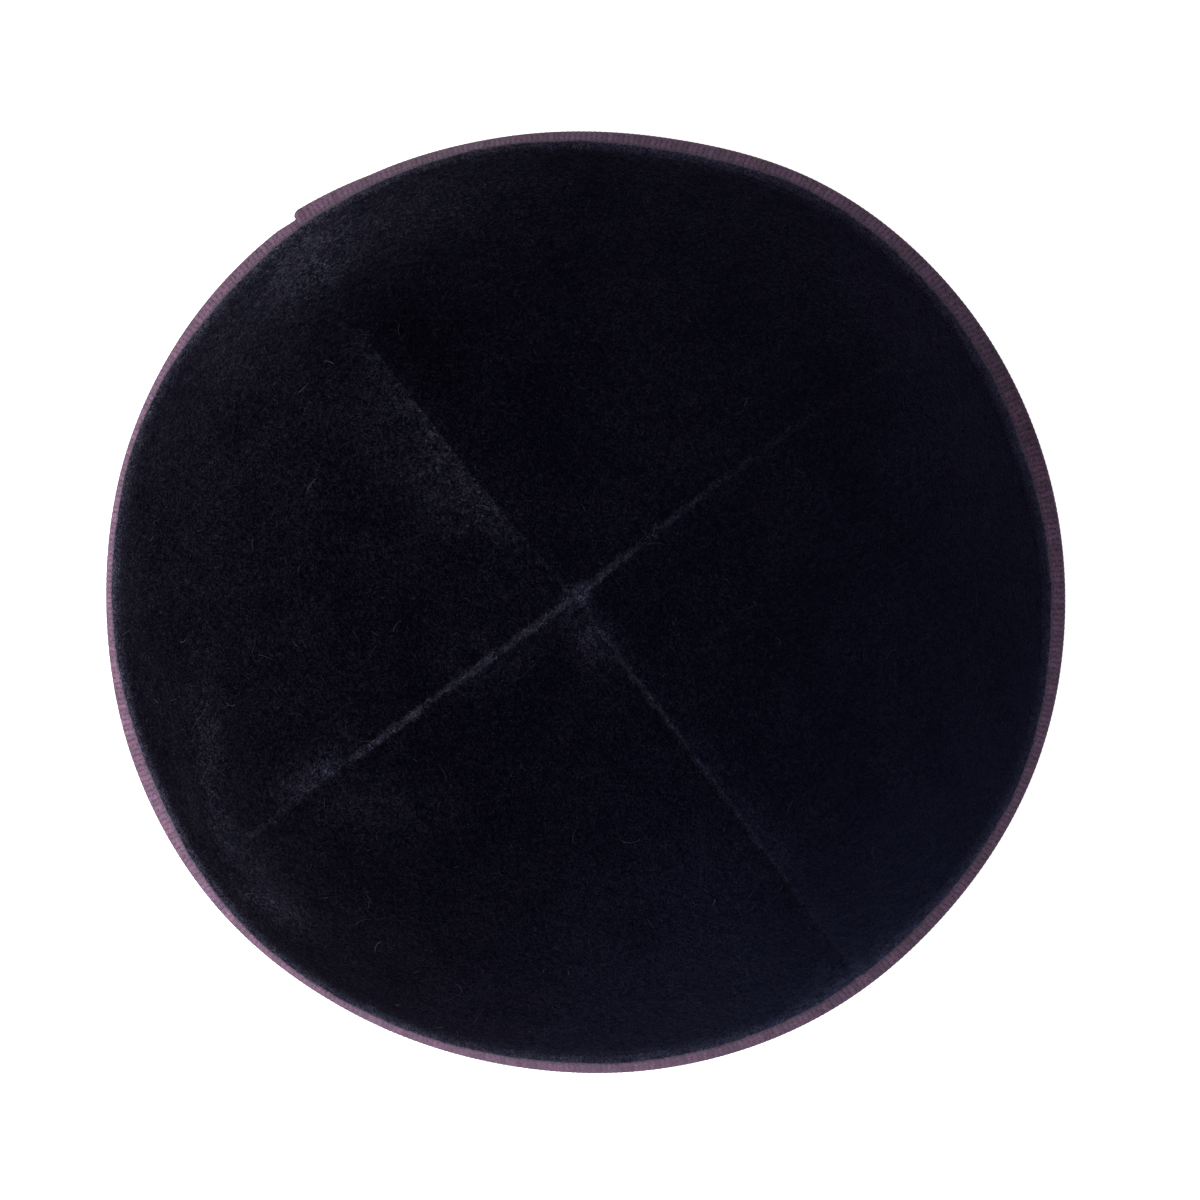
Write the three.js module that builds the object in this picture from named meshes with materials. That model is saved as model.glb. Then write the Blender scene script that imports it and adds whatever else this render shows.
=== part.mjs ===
// A velvet skullcap: four panels sewn into a dome, bound round the rim with a folded grosgrain ribbon.
// Millimetres, +X right, +Y back, +Z up. The cap rests on its ribbon at z = 0, crown upwards.
import * as THREE from 'three';

// The whole cap
const WIDTH = 180; // across the ribbon, left to right
const DEPTH = 176.5; // across the ribbon, front to back
const HEIGHT = 54; // from the resting surface to the pile of the crown
const CROWN_RIGHT = 0.9; // how far the crown lies right of the middle
const CROWN_BACK = 1.4; // how far the crown lies behind the middle

// Cloth and ribbon
const WALL = 2.2; // a panel, from the tips of its pile to its backing
const HEM_WALL = 1.2; // a panel's lower edge, pressed flat inside the ribbon
const RIBBON_THICKNESS = 1; // one leaf of the folded ribbon
const OUTER_LEAF = 5; // height of the ribbon outside the rim
const INNER_LEAF = 5; // height of the ribbon inside the rim
const FOLD_ROUND = 0.6; // rounding of the ribbon's fold
const EDGE_ROUND = 0.3; // rounding of the ribbon's woven edges
const FIT = 0.3; // clearance where two pieces meet

// Where the ribbon's free end laps over its start
const LAP_DIRECTION = 126.5; // degrees, from the right towards the back
const LAP_LENGTH = 16; // how much of the ribbon lies double
const LAP_LIFT = 1.1; // how far the free end stands out
const LAP_CUT = 0.3; // slant of the cut end

// Depths below the ribbon's outer face
const HEM_OUTSIDE = RIBBON_THICKNESS + FIT;
const PANEL_INSIDE = HEM_OUTSIDE + HEM_WALL;
const PILE = PANEL_INSIDE - WALL;
const INNER_LEAF_START = PANEL_INSIDE + FIT;
const RIBBON_BACK = INNER_LEAF_START + RIBBON_THICKNESS;

// Shape of an upright section, as shares of the radius and of the height
const CROWN_REACH = 0.58; // how far out the crown stays level
const WALL_RISE = 0.52; // how far up the side wall stays straight
const LEAN = 0.5; // how much the side wall leans inwards, per height
const FLARE_HEIGHT = 14; // height over which the rim's own lean dies out

// Seams and the form that they give the dome
const SEAM_DIP = 0.9; // depth of the groove along a seam
const SEAM_WIDTH = 1.8; // half the width of that groove
const SEAM_RIDGE = 1.6; // how far the dome stands out at its seams and in between them
const FREE_HEIGHT = 14; // height over which the panels come free of the ribbon's round
const PILE_ROUND = 0.8; // rounding of the pile where it meets the ribbon
const HEM_SHOULDER = 3; // height of the panel's last row above the ribbon

// Counts of facets
const PANEL_ROWS = 26;
const RIBBON_STEPS = 104;

// How the sections are solved: t runs from 0 at the crown past 1 at the rim
const SOLVER_STEPS = 40;
const SLOPE_STEP = 1e-4;
const BEYOND_RIM = 1.3;

// The rim, every 20 degrees from the right towards the back.
// reach is a share of the oval's radius, lean is how much the wall leans inwards per height.
const RIM = [
  { reach: 1.0, lean: 0.64 },
  { reach: 1.006, lean: 0.86 },
  { reach: 1.014, lean: 0.69 },
  { reach: 1.017, lean: 0.57 },
  { reach: 1.001, lean: 0.58 },
  { reach: 1.003, lean: 0.42 },
  { reach: 1.015, lean: 0.51 },
  { reach: 1.018, lean: 0.59 },
  { reach: 1.011, lean: 0.41 },
  { reach: 1.0, lean: 0.4 },
  { reach: 1.004, lean: 0.6 },
  { reach: 1.006, lean: 0.43 },
  { reach: 0.999, lean: 0.4 },
  { reach: 0.997, lean: 0.44 },
  { reach: 1.003, lean: 0.47 },
  { reach: 1.006, lean: 0.54 },
  { reach: 1.0, lean: 0.56 },
  { reach: 1.001, lean: 0.47 },
];

// The seams: the direction in which each one ends at the rim, and its turn towards the crown, in degrees
const SEAMS = [
  { end: -54, turn: 0.8 },
  { end: 36, turn: 3.3 },
  { end: 128, turn: 2 },
  { end: 215.5, turn: 0 },
];

// Each panel lies between the seam of its own row and the next one
const PANELS = ['panel_right', 'panel_back', 'panel_left', 'panel_front'];

// Folds and dents in the cloth. right and length are shares of the width, back of the depth,
// rise of the height, and across is a share of the width; heading is in degrees.
const FOLDS = [
  { right: -0.147, back: 0.129, heading: 127, length: 0.1, across: 0.026, rise: 0.018 },
  { right: -0.165, back: 0.275, heading: 127, length: 0.1, across: 0.045, rise: -0.018 },
  { right: -0.283, back: 0.36, heading: 40, length: 0.05, across: 0.03, rise: 0.016 },
  { right: -0.389, back: -0.17, heading: 96, length: 0.07, across: 0.022, rise: 0.018 },
  { right: -0.35, back: -0.17, heading: 100, length: 0.07, across: 0.025, rise: -0.014 },
  { right: -0.283, back: -0.199, heading: 25, length: 0.04, across: 0.025, rise: 0.012 },
  { right: -0.31, back: -0.31, heading: -20, length: 0.045, across: 0.02, rise: -0.014 },
  { right: 0.3, back: -0.3, heading: 45, length: 0.09, across: 0.05, rise: -0.012 },
];

const rimCurve = new THREE.CatmullRomCurve3(
  RIM.map((row) => new THREE.Vector3(row.reach, row.lean, 0)),
  true,
  'catmullrom',
);

function bezier(t, start, leave, arrive, end) {
  const s = 1 - t;
  return s * s * s * start + 3 * s * s * t * leave + 3 * s * t * t * arrive + t * t * t * end;
}

// The rim's radius and lean in one direction
function rimAt(direction) {
  const row = rimCurve.getPoint(THREE.MathUtils.euclideanModulo(direction / 360, 1));
  const angle = THREE.MathUtils.degToRad(direction);
  const oval = 1 / Math.hypot(Math.cos(angle) / (WIDTH / 2), Math.sin(angle) / (DEPTH / 2));
  return { reach: row.x * oval, lean: row.y };
}

function riseAt(t) {
  const top = HEIGHT + PILE;
  return bezier(t, top, top, WALL_RISE * top, FOLD_ROUND);
}

// An upright section of the ribbon's outer face and the dome above it, from the crown, t = 0,
// to the widest place of the ribbon's fold, t = 1
function sectionAt(rim, t) {
  const top = HEIGHT + PILE;
  const rise = riseAt(t);
  const run = bezier(t, 0, CROWN_REACH * rim.reach, rim.reach - LEAN * WALL_RISE * top, rim.reach);
  const flare = (rim.lean - LEAN) * rise * Math.exp(-rise / FLARE_HEIGHT);
  return { run: run - flare, rise };
}

// A point of the cap, sunk by depth at right angles to its section
function capPoint(direction, t, depth) {
  const rim = rimAt(direction);
  const here = sectionAt(rim, t);
  const before = sectionAt(rim, t - SLOPE_STEP);
  const after = sectionAt(rim, t + SLOPE_STEP);
  const run = after.run - before.run;
  const fall = before.rise - after.rise;
  const slope = Math.hypot(run, fall);
  const out = here.run - (depth * fall) / slope;
  const skew = 1 - out / rim.reach;
  const angle = THREE.MathUtils.degToRad(direction);
  return new THREE.Vector3(
    out * Math.cos(angle) + CROWN_RIGHT * skew,
    out * Math.sin(angle) + CROWN_BACK * skew,
    here.rise - (depth * run) / slope,
  );
}

// Finds where a falling function of t reaches a height
function solveFor(height, heightAt) {
  let low = 0;
  let high = BEYOND_RIM;
  for (let step = 0; step < SOLVER_STEPS; step += 1) {
    const middle = (low + high) / 2;
    if (heightAt(middle) > height) low = middle;
    else high = middle;
  }
  return (low + high) / 2;
}

// A point of the cap at a given height above the resting surface
function capPointAtHeight(direction, height, depth) {
  const t = solveFor(height, (guess) => capPoint(direction, guess, depth).z);
  return capPoint(direction, t, depth).setZ(height);
}

// The direction of a seam, which turns a little on its way from the rim to the crown
function seamDirection(index, t) {
  const lap = Math.floor(index / SEAMS.length);
  const seam = SEAMS[index % SEAMS.length];
  const reach = WIDTH / 2;
  const share = sectionAt({ reach, lean: LEAN }, t).run / reach;
  return seam.end + 360 * lap + seam.turn * (1 - THREE.MathUtils.clamp(share, 0, 1) ** 2);
}

// How far the folds lift the cloth at one place of the plan
function foldLift(x, y) {
  let lift = 0;
  for (const fold of FOLDS) {
    const right = x - fold.right * WIDTH;
    const back = y - fold.back * DEPTH;
    const heading = THREE.MathUtils.degToRad(fold.heading);
    const along = right * Math.cos(heading) + back * Math.sin(heading);
    const aside = back * Math.cos(heading) - right * Math.sin(heading);
    const spread = (along / (fold.length * WIDTH)) ** 2 + (aside / (fold.across * WIDTH)) ** 2;
    lift += fold.rise * HEIGHT * Math.exp(-spread);
  }
  return lift;
}

// Directions of a panel's points in one row, with more of them near the seams
function rowDirections(panel, t, count) {
  const run = capPoint(0, t, 0).x - CROWN_RIGHT;
  const inset = THREE.MathUtils.radToDeg(FIT / 2 / run);
  const first = seamDirection(panel, t) + inset;
  const last = seamDirection(panel + 1, t) - inset;
  const directions = [];
  for (let index = 0; index < count; index += 1) {
    const even = count > 1 ? index / (count - 1) : 0.5;
    const crowded = (1 - Math.cos(Math.PI * even)) / 2;
    const share = (even + crowded) / 2;
    directions.push(THREE.MathUtils.lerp(first, last, share));
  }
  return directions;
}

// Depth of the groove beside the nearer seam
function grooveDepth(panel, direction, t, run) {
  const toFirst = direction - seamDirection(panel, t);
  const toLast = seamDirection(panel + 1, t) - direction;
  const distance = THREE.MathUtils.degToRad(Math.min(toFirst, toLast)) * run;
  return SEAM_DIP * Math.exp(-((distance / SEAM_WIDTH) ** 2));
}

// How far the dome stands out: at the seams, less in between, and where a fold lifts it
function swellAt(panel, direction, t) {
  const plain = capPoint(direction, t, PILE);
  const first = seamDirection(panel, t);
  const share = (direction - first) / (seamDirection(panel + 1, t) - first);
  const ridge = SEAM_RIDGE * Math.cos(2 * Math.PI * share) * Math.sin(Math.PI * t) ** 2;
  const ribbonTop = OUTER_LEAF + FIT + HEM_SHOULDER;
  const free = THREE.MathUtils.smoothstep(plain.z, ribbonTop, ribbonTop + FREE_HEIGHT);
  return (ridge + foldLift(plain.x, plain.y)) * free;
}

// The rows of one panel, outside and inside, from its tip at the crown to the hem in the ribbon
function panelRows(panel) {
  const outside = [];
  const inside = [];
  const runPerStep = 3 * CROWN_REACH * (WIDTH / 2);
  const tip = FIT / Math.SQRT2 / runPerStep;
  const last = solveFor(OUTER_LEAF + FIT + HEM_SHOULDER, riseAt);
  for (let row = 0; row <= PANEL_ROWS; row += 1) {
    const t = THREE.MathUtils.lerp(tip, last, row / PANEL_ROWS);
    const directions = rowDirections(panel, t, row + 1);
    const reach = capPoint(0, t, PILE).x - CROWN_RIGHT;
    outside.push(directions.map((direction) => {
      const groove = grooveDepth(panel, direction, t, reach);
      return capPoint(direction, t, PILE + groove - swellAt(panel, direction, t));
    }));
    inside.push(directions.map((direction) => (
      capPoint(direction, t, PANEL_INSIDE - swellAt(panel, direction, t))
    )));
  }

  const hemTop = OUTER_LEAF + FIT;
  const hemBottom = RIBBON_THICKNESS + FIT;
  const hem = [
    { height: hemTop + PILE_ROUND, depth: PILE, insideHeight: hemTop + PILE_ROUND },
    { height: hemTop, depth: PILE + PILE_ROUND / 2, insideHeight: hemTop + PILE_ROUND / 2 },
    { height: hemTop, depth: HEM_OUTSIDE, insideHeight: hemTop },
    { height: hemTop / 2, depth: HEM_OUTSIDE, insideHeight: hemTop / 2 },
    { height: hemBottom, depth: HEM_OUTSIDE, insideHeight: hemBottom },
  ];
  const directions = rowDirections(panel, last, PANEL_ROWS + 1);
  const reach = capPoint(0, 1, PILE).x - CROWN_RIGHT;
  for (const row of hem) {
    outside.push(directions.map((direction) => {
      const groove = PILE + grooveDepth(panel, direction, last, reach);
      return capPointAtHeight(direction, row.height, Math.max(row.depth, groove));
    }));
    inside.push(directions.map((direction) => (
      capPointAtHeight(direction, row.insideHeight, PANEL_INSIDE)
    )));
  }
  return { outside, inside };
}

// Collects points and triangles into one closed body
class Body {
  constructor() {
    this.points = [];
    this.triangles = [];
  }

  addRow(row) {
    return row.map((point) => this.points.push(point) - 1);
  }

  addTriangle(a, b, c, turned) {
    this.triangles.push(...(turned ? [a, c, b] : [a, b, c]));
  }

  addQuad(a, b, c, d, turned) {
    this.addTriangle(a, b, c, turned);
    this.addTriangle(a, c, d, turned);
  }

  // Joins two rows that hold the same number of points, or one more in the lower row
  joinRows(upper, lower, turned) {
    const grows = lower.length > upper.length;
    for (let index = 0; index + 1 < lower.length; index += 1) {
      if (!grows) {
        this.addQuad(upper[index], lower[index], lower[index + 1], upper[index + 1], turned);
        continue;
      }
      this.addTriangle(upper[index], lower[index], lower[index + 1], turned);
      if (index + 1 < upper.length) {
        this.addTriangle(upper[index], lower[index + 1], upper[index + 1], turned);
      }
    }
  }

  toGeometry() {
    const geometry = new THREE.BufferGeometry().setFromPoints(this.points);
    geometry.setIndex(this.triangles);
    geometry.computeVertexNormals();
    return geometry;
  }
}

function panelGeometry(panel) {
  const rows = panelRows(panel);
  const body = new Body();
  const outside = rows.outside.map((row) => body.addRow(row));
  const inside = rows.inside.map((row) => body.addRow(row));
  for (let row = 0; row + 1 < outside.length; row += 1) {
    body.joinRows(outside[row], outside[row + 1], false);
    body.joinRows(inside[row], inside[row + 1], true);
    body.addQuad(outside[row][0], inside[row][0], inside[row + 1][0], outside[row + 1][0], false);
    body.addQuad(
      outside[row].at(-1),
      inside[row].at(-1),
      inside[row + 1].at(-1),
      outside[row + 1].at(-1),
      true,
    );
  }
  body.joinRows(outside.at(-1), inside.at(-1), false);
  return body.toGeometry();
}

// The folded ribbon's section as depths below its outer face and heights, once round the fold
function ribbonSection(lift) {
  const back = RIBBON_BACK + lift;
  return [
    { depth: EDGE_ROUND - lift, height: OUTER_LEAF },
    { depth: -lift, height: OUTER_LEAF - EDGE_ROUND },
    { depth: -lift, height: OUTER_LEAF / 2 },
    { depth: -lift, height: FOLD_ROUND },
    { depth: FOLD_ROUND - lift, height: 0 },
    { depth: back - FOLD_ROUND, height: 0 },
    { depth: back, height: FOLD_ROUND },
    { depth: back, height: INNER_LEAF / 2 },
    { depth: back, height: INNER_LEAF - EDGE_ROUND },
    { depth: back - EDGE_ROUND, height: INNER_LEAF },
    { depth: INNER_LEAF_START, height: INNER_LEAF },
    { depth: INNER_LEAF_START, height: INNER_LEAF / 2 },
    { depth: INNER_LEAF_START, height: RIBBON_THICKNESS },
    { depth: RIBBON_THICKNESS, height: RIBBON_THICKNESS },
    { depth: RIBBON_THICKNESS, height: OUTER_LEAF / 2 },
    { depth: RIBBON_THICKNESS, height: OUTER_LEAF },
  ];
}

// The ribbon starts under the lap, goes once round and ends on top of its start
function ribbonGeometry() {
  const body = new Body();
  const degreesPerLength = THREE.MathUtils.radToDeg(1 / rimAt(LAP_DIRECTION).reach);
  const round = 360 - LAP_CUT * degreesPerLength;
  const rings = [];
  for (let step = 0; step <= RIBBON_STEPS; step += 1) {
    const direction = LAP_DIRECTION + (round * step) / RIBBON_STEPS;
    const toEnd = (LAP_DIRECTION + round - direction) / degreesPerLength;
    const lift = LAP_LIFT * Math.max(0, 1 - toEnd / LAP_LENGTH);
    rings.push(body.addRow(ribbonSection(lift).map((corner) => (
      capPointAtHeight(direction, corner.height, corner.depth)
    ))));
  }
  rings.forEach((ring, index) => {
    const next = rings[(index + 1) % rings.length];
    ring.forEach((corner, place) => {
      const above = (place + 1) % ring.length;
      body.addQuad(corner, ring[above], next[above], next[place], false);
    });
  });
  return body.toGeometry();
}

function makeVelvet() {
  return new THREE.MeshStandardMaterial({ color: 0x0d0e1c, roughness: 0.95, metalness: 0 });
}

function makeRibbonCloth() {
  return new THREE.MeshStandardMaterial({ color: 0x5c4a60, roughness: 0.75, metalness: 0 });
}

function makePiece(name, geometry, material) {
  const mesh = new THREE.Mesh(geometry, material);
  mesh.name = name;
  return mesh;
}

const cap = new THREE.Group();
PANELS.forEach((name, panel) => cap.add(makePiece(name, panelGeometry(panel), makeVelvet())));
cap.add(makePiece('ribbon_binding', ribbonGeometry(), makeRibbonCloth()));

// The origin is the middle of the cap's box, on the surface that it rests on
const middle = new THREE.Box3().setFromObject(cap).getCenter(new THREE.Vector3());
cap.position.set(-middle.x, -middle.y, 0);

export default cap;
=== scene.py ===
# %% [markdown]
# A velvet skullcap, seen from above. Four panels of velvet are sewn into a dome, and a grosgrain ribbon
# is folded over the raw edge and lapped over itself at the upper left.
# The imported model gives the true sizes. This lesson dresses it: each panel and the ribbon are rebuilt
# finely enough to carry grooves, ribs and loose fibres, and each stays within about one and a half
# millimetres of where its solid is.

import bpy
import numpy as np
from mathutils import Matrix, Vector


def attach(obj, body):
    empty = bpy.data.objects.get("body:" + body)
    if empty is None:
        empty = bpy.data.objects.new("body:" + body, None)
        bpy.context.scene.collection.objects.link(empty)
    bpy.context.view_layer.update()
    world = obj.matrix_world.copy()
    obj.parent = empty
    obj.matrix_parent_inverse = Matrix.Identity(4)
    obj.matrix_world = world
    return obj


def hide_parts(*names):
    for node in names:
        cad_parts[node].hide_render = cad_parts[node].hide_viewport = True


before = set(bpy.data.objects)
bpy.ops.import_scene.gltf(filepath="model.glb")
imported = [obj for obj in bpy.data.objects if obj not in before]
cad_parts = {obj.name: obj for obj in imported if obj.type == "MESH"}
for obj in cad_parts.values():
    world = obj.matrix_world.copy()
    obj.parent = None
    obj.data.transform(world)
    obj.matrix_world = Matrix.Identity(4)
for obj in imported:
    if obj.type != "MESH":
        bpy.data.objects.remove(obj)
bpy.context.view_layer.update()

MM = 0.001
random = np.random.default_rng(18)

# %% [markdown]
# The camera stands almost straight above the cap and a little to its right. That is why the ribbon shows
# as a wider band at the right and the crossing of the seams lies left of the middle. A tracking
# constraint would turn the picture when it looks down, so the camera's own axes are worked out here.

# %% The camera
CAMERA_PLACE = Vector((0.0475, 0.0102, 0.9))
CAMERA_AIM = Vector((0.00312, 0.00051, 0.0))
LENS = 144.36


def aim_from(place, target, upwards):
    forward = (target - place).normalized()
    right = forward.cross(upwards).normalized()
    turned = Matrix((right, right.cross(forward), -forward)).transposed()
    return Matrix.Translation(place) @ turned.to_4x4()


bpy.ops.object.select_all(action="DESELECT")
bpy.ops.object.camera_add()
camera = bpy.context.object
camera.data.lens = LENS
camera.data.sensor_width = 36.0
camera.data.clip_end = 10.0
camera.matrix_world = aim_from(CAMERA_PLACE, CAMERA_AIM, Vector((0, 1, 0)))
bpy.context.scene.camera = camera
print("camera at", [round(x, 3) for x in CAMERA_PLACE])

# %% [markdown]
# The cap was lit in a white tent. A pale world gives the even light, and one large lamp at the left,
# a little to the front, makes the left of the ribbon twice as light as its right. The floor glows a
# little, as a lit table does, so that it stays white round a nearly black object.

# %% Light and floor
KEY_DIRECTION, KEY_HEIGHT, KEY_DISTANCE = 200.0, 27.0, 1.2
KEY_SIDE, KEY_POWER = 1.0, 35.0
WORLD_LIGHT = 0.35

world = bpy.data.worlds.new("white_tent")
bpy.context.scene.world = world
world.use_nodes = True
world.node_tree.nodes["Background"].inputs["Color"].default_value = (1.0, 1.0, 1.0, 1.0)
world.node_tree.nodes["Background"].inputs["Strength"].default_value = WORLD_LIGHT
bpy.context.scene.view_settings.view_transform = "Standard"

key_turn, key_rise = np.radians(KEY_DIRECTION), np.radians(KEY_HEIGHT)
key_place = KEY_DISTANCE * Vector((
    np.cos(key_turn) * np.cos(key_rise),
    np.sin(key_turn) * np.cos(key_rise),
    np.sin(key_rise),
))
bpy.ops.object.light_add(type="AREA")
key = bpy.context.object
key.data.size = KEY_SIDE
key.data.energy = KEY_POWER
key.matrix_world = aim_from(key_place, Vector((0, 0, 0.02)), Vector((0, 0, 1)))

bpy.ops.object.select_all(action="DESELECT")
bpy.ops.mesh.primitive_plane_add(size=6.0)
floor = bpy.context.object
floor.name = "floor"
print("lamp at", [round(x, 2) for x in key_place])

# %% [markdown]
# Materials are trees of nodes. These helpers keep them short: one adds a node and joins its inputs,
# the other two do sums. Whatever is the same all over a surface is set on the shader itself.


# %% Helpers for materials
class Finish:
    def __init__(self, name):
        self.material = bpy.data.materials.new(name)
        self.material.use_nodes = True
        self.tree = self.material.node_tree
        self.shader = self.tree.nodes["Principled BSDF"]

    def add(self, kind, inputs=None, **settings):
        node = self.tree.nodes.new(kind)
        for name, value in settings.items():
            setattr(node, name, value)
        for name, value in (inputs or {}).items():
            self.give(node.inputs[name], value)
        return node

    def give(self, socket, value):
        if isinstance(value, bpy.types.NodeSocket):
            self.tree.links.new(value, socket)
        else:
            socket.default_value = value

    def sum(self, operation, first, second=0.0, third=0.0, clamp=False):
        node = self.add("ShaderNodeMath", {0: first, 1: second, 2: third}, operation=operation)
        node.use_clamp = clamp
        return node.outputs[0]

    def attribute(self, name):
        return self.add("ShaderNodeAttribute", attribute_name=name).outputs["Fac"]

    def mix(self, share, first, second):
        node = self.add("ShaderNodeMix", data_type="RGBA")
        self.give(node.inputs["Factor"], share)
        self.give(node.inputs[6], first)
        self.give(node.inputs[7], second)
        return node.outputs[2]

    def scaled(self, colour, factor):
        node = self.add("ShaderNodeVectorMath", {0: colour}, operation="SCALE")
        self.give(node.inputs["Scale"], factor)
        return node.outputs[0]

    def added(self, first, second):
        return self.add("ShaderNodeVectorMath", {0: first, 1: second}, operation="ADD").outputs[0]

    def multiplied(self, first, second):
        return self.add("ShaderNodeVectorMath", {0: first, 1: second}, operation="MULTIPLY").outputs[0]

    def span(self, value, low, high, start, end):
        node = self.add("ShaderNodeMapRange", {0: value, 1: low, 2: high, 3: start, 4: end})
        return node.outputs[0]

    def millimetres(self):
        place = self.add("ShaderNodeTexCoord").outputs["Object"]
        return self.scaled(place, 1 / MM)

    def noise(self, place, scale, detail=2.0, distortion=0.0, roughness=0.5):
        inputs = {"Vector": place, "Scale": scale, "Detail": detail}
        inputs.update({"Roughness": roughness, "Distortion": distortion})
        return self.add("ShaderNodeTexNoise", inputs).outputs["Fac"]

    def bump(self, height, distance, below=None):
        inputs = {"Height": height, "Distance": distance, "Strength": 1.0}
        node = self.add("ShaderNodeBump", inputs)
        if below is not None:
            self.give(node.inputs["Normal"], below)
        return node.outputs["Normal"]


def plain_settings(finish, roughness, specular):
    finish.shader.inputs["Roughness"].default_value = roughness
    finish.shader.inputs["Specular IOR Level"].default_value = specular


floor_finish = Finish("pale_floor")
plain_settings(floor_finish, 0.9, 0.0)
floor_finish.shader.inputs["Base Color"].default_value = (0.9, 0.9, 0.9, 1.0)
floor_finish.shader.inputs["Emission Color"].default_value = (1.0, 1.0, 1.0, 1.0)
floor_finish.shader.inputs["Emission Strength"].default_value = 0.86
floor.data.materials.append(floor_finish.material)
print("floor finished")

# %% [markdown]
# The whole cap follows one upright section: a curve that runs level from the crown, bends down, and
# ends in the fold of the ribbon. The rim isn't a true circle, and its wall leans inwards more at some
# places than at others, so a short table gives both for every 20 degrees. These are the same numbers
# as the solids have, in millimetres, so the dome and the rim fall where those of the solids do.

# %% The shape of the cap
WIDTH, DEPTH, HEIGHT = 180.0, 176.5, 54.0
CROWN_RIGHT, CROWN_BACK = 0.9, 1.4
OUTER_LEAF = 5.0
FOLD_ROUND, FIT = 0.6, 0.3
PANEL_INSIDE, PILE = 2.5, 0.3
RIBBON_BACK = 3.8
CROWN_REACH, WALL_RISE, LEAN, FLARE_HEIGHT = 0.58, 0.52, 0.5, 14.0
SEAM_RIDGE, FREE_HEIGHT, HEM_SHOULDER = 1.6, 14.0, 3.0
LAP_LENGTH, LAP_LIFT = 16.0, 1.1

RIM = np.array([
    (1.0, 0.64), (1.006, 0.86), (1.014, 0.69), (1.017, 0.57), (1.001, 0.58), (1.003, 0.42),
    (1.015, 0.51), (1.018, 0.59), (1.011, 0.41), (1.0, 0.4), (1.004, 0.6), (1.006, 0.43),
    (0.999, 0.4), (0.997, 0.44), (1.003, 0.47), (1.006, 0.54), (1.0, 0.56), (1.001, 0.47),
])


def bezier(t, start, leave, arrive, end):
    s = 1 - t
    return s * s * s * start + 3 * s * s * t * leave + 3 * s * t * t * arrive + t * t * t * end


def rim_at(direction):
    place = np.mod(direction / 360.0, 1.0) * len(RIM)
    index = np.floor(place).astype(int)
    u = (place - index)[..., None]
    p, q, r, s = (RIM[(index + step) % len(RIM)] for step in (-1, 0, 1, 2))
    row = q + 0.5 * u * (r - p + u * (2 * p - 5 * q + 4 * r - s + u * (3 * (q - r) + s - p)))
    angle = np.radians(direction)
    oval = 1 / np.hypot(np.cos(angle) / (WIDTH / 2), np.sin(angle) / (DEPTH / 2))
    return row[..., 0] * oval, row[..., 1]


def rise_at(t):
    top = HEIGHT + PILE
    return bezier(t, top, top, WALL_RISE * top, FOLD_ROUND)


def section_at(reach, lean, t):
    rise = rise_at(t)
    wall = reach - LEAN * WALL_RISE * (HEIGHT + PILE)
    run = bezier(t, 0.0, CROWN_REACH * reach, wall, reach)
    return run - (lean - LEAN) * rise * np.exp(-rise / FLARE_HEIGHT), rise


def cap_point(direction, t, depth):
    direction, t, depth = np.broadcast_arrays(*(np.asarray(x, float) for x in (direction, t, depth)))
    reach, lean = rim_at(direction)
    run, rise = section_at(reach, lean, t)
    before = section_at(reach, lean, t - 1e-4)
    after = section_at(reach, lean, t + 1e-4)
    along, fall = after[0] - before[0], before[1] - after[1]
    slope = np.hypot(along, fall)
    out = run - depth * fall / slope
    skew = 1 - out / reach
    angle = np.radians(direction)
    x = out * np.cos(angle) + CROWN_RIGHT * skew
    y = out * np.sin(angle) + CROWN_BACK * skew
    return np.stack([x, y, rise - depth * along / slope], axis=-1)


def cap_point_at_height(direction, height, depth):
    direction, height, depth = np.broadcast_arrays(direction, height, depth)
    low, high = np.zeros(direction.shape), np.full(direction.shape, 1.3)
    for _ in range(34):
        middle = (low + high) / 2
        above = cap_point(direction, middle, depth)[..., 2] > height
        low, high = np.where(above, middle, low), np.where(above, high, middle)
    points = cap_point(direction, (low + high) / 2, depth)
    points[..., 2] = height
    return points


round_the_rim = cap_point(np.arange(0.0, 360.0, 0.25), 1.0, 0.0)
MIDDLE = (round_the_rim.min(axis=0) + round_the_rim.max(axis=0)) / 2
MIDDLE[2] = 0.0
print("middle of the rim in mm", MIDDLE.round(3))

# %% [markdown]
# Four seams run from the crown to the rim, and each turns a little on its way. Low folds and dents lift
# the cloth where it has been handled. Both come from short tables, with places as shares of the cap's
# width and depth. The folds are the solids' own. Two seams turn up to a millimetre further than the
# solids' seams, because their lines were read once more from the picture.

# %% Seams and folds
SEAM_ENDS = (-54.0, 36.0, 128.0, 215.5)
SEAM_TURNS = (2.2, 3.3, 0.4, 0.0)
PANEL_NAMES = ("right", "back", "left", "front")
FOLDS = (
    (-0.147, 0.129, 127, 0.1, 0.026, 0.018),
    (-0.165, 0.275, 127, 0.1, 0.045, -0.018),
    (-0.283, 0.36, 40, 0.05, 0.03, 0.016),
    (-0.389, -0.17, 96, 0.07, 0.022, 0.018),
    (-0.35, -0.17, 100, 0.07, 0.025, -0.014),
    (-0.283, -0.199, 25, 0.04, 0.025, 0.012),
    (-0.31, -0.31, -20, 0.045, 0.02, -0.014),
    (0.3, -0.3, 45, 0.09, 0.05, -0.012),
)


def share_of_reach(t):
    run, _ = section_at(WIDTH / 2, LEAN, t)
    return np.clip(run / (WIDTH / 2), 0, 1)


def seam_direction(index, t):
    whole_turns, seam = divmod(index, 4)
    return SEAM_ENDS[seam] + 360 * whole_turns + SEAM_TURNS[seam] * (1 - share_of_reach(t) ** 2)


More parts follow.
